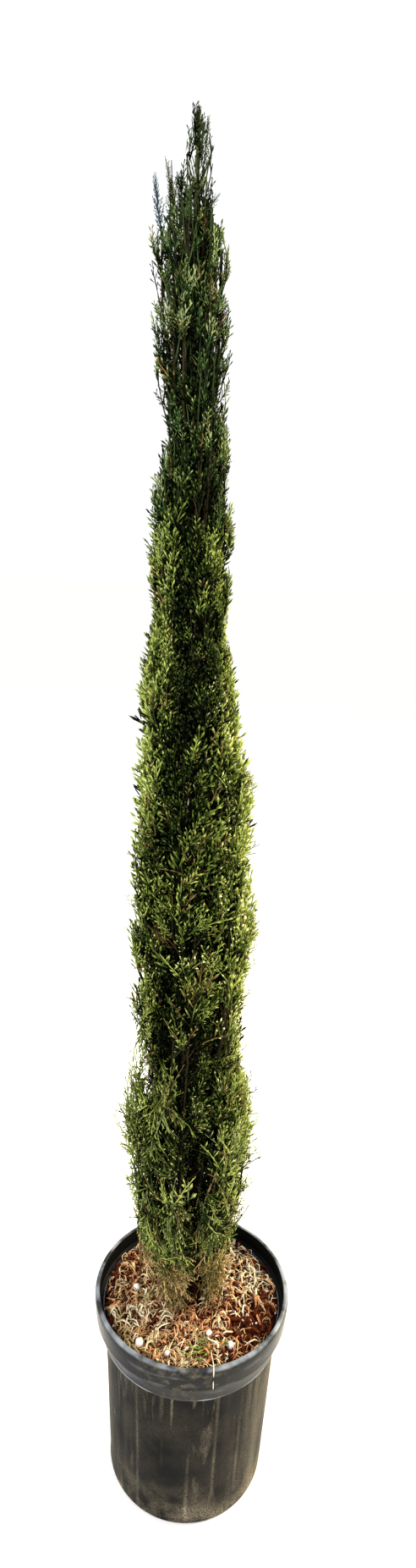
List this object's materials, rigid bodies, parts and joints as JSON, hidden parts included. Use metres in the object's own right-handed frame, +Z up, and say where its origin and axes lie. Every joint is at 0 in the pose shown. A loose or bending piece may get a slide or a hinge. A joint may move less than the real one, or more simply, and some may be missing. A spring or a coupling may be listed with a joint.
{
  "type": "potted italian cypress",
  "caption": "Young columnar cypress in a round plastic nursery pot: a narrow crown of upright leafy plumes round one straight trunk, rooted in potting mix",
  "frame": {"origin": "centre of the pot's flat underside, on the surface it stands on", "axes": "+Z up along the pot and trunk; +X to the right and +Y away from the viewer of the picture"},
  "size_m": [0.286, 0.2854, 1.806],
  "materials": {
    "pot": "semi-gloss black moulded plastic, dusty",
    "potting_mix": "moist bark and peat mix with pale fibres",
    "bark": "matte fibrous red-brown bark",
    "foliage": "matte scaly green leaf sprays"
  },
  "bodies": {
    "root": {"back_bough_1": "bark", "back_bough_2": "bark", "back_bough_3": "bark", "back_plume_1": "foliage", "back_plume_2": "foliage", "back_plume_3": "foliage", "back_plume_4": "foliage", "back_plume_5": "foliage", "front_left_bough_1": "bark", "front_left_bough_2": "bark", "front_left_plume_1": "foliage", "front_left_plume_2": "foliage", "front_left_plume_3": "foliage", "front_left_plume_4": "foliage", "front_left_plume_5": "foliage", "front_right_bough_1": "bark", "front_right_bough_2": "bark", "front_right_bough_3": "bark", "front_right_plume_1": "foliage", "front_right_plume_2": "foliage", "front_right_plume_3": "foliage", "front_right_plume_4": "foliage", "front_right_plume_5": "foliage", "leader_plume": "foliage", "left_bough_1": "bark", "left_bough_2": "bark", "left_bough_3": "bark", "left_plume_1": "foliage", "left_plume_2": "foliage", "left_plume_3": "foliage", "left_plume_4": "foliage", "left_plume_5": "foliage", "nursery_pot": "pot", "potting_mix": "potting_mix", "right_bough_1": "bark", "right_bough_2": "bark", "right_bough_3": "bark", "right_bough_4": "bark", "right_plume_1": "foliage", "right_plume_2": "foliage", "right_plume_3": "foliage", "right_plume_4": "foliage", "right_plume_5": "foliage", "skirt_plume_1": "foliage", "skirt_plume_2": "foliage", "skirt_plume_3": "foliage", "trunk": "bark"}
  },
  "joints": []
}
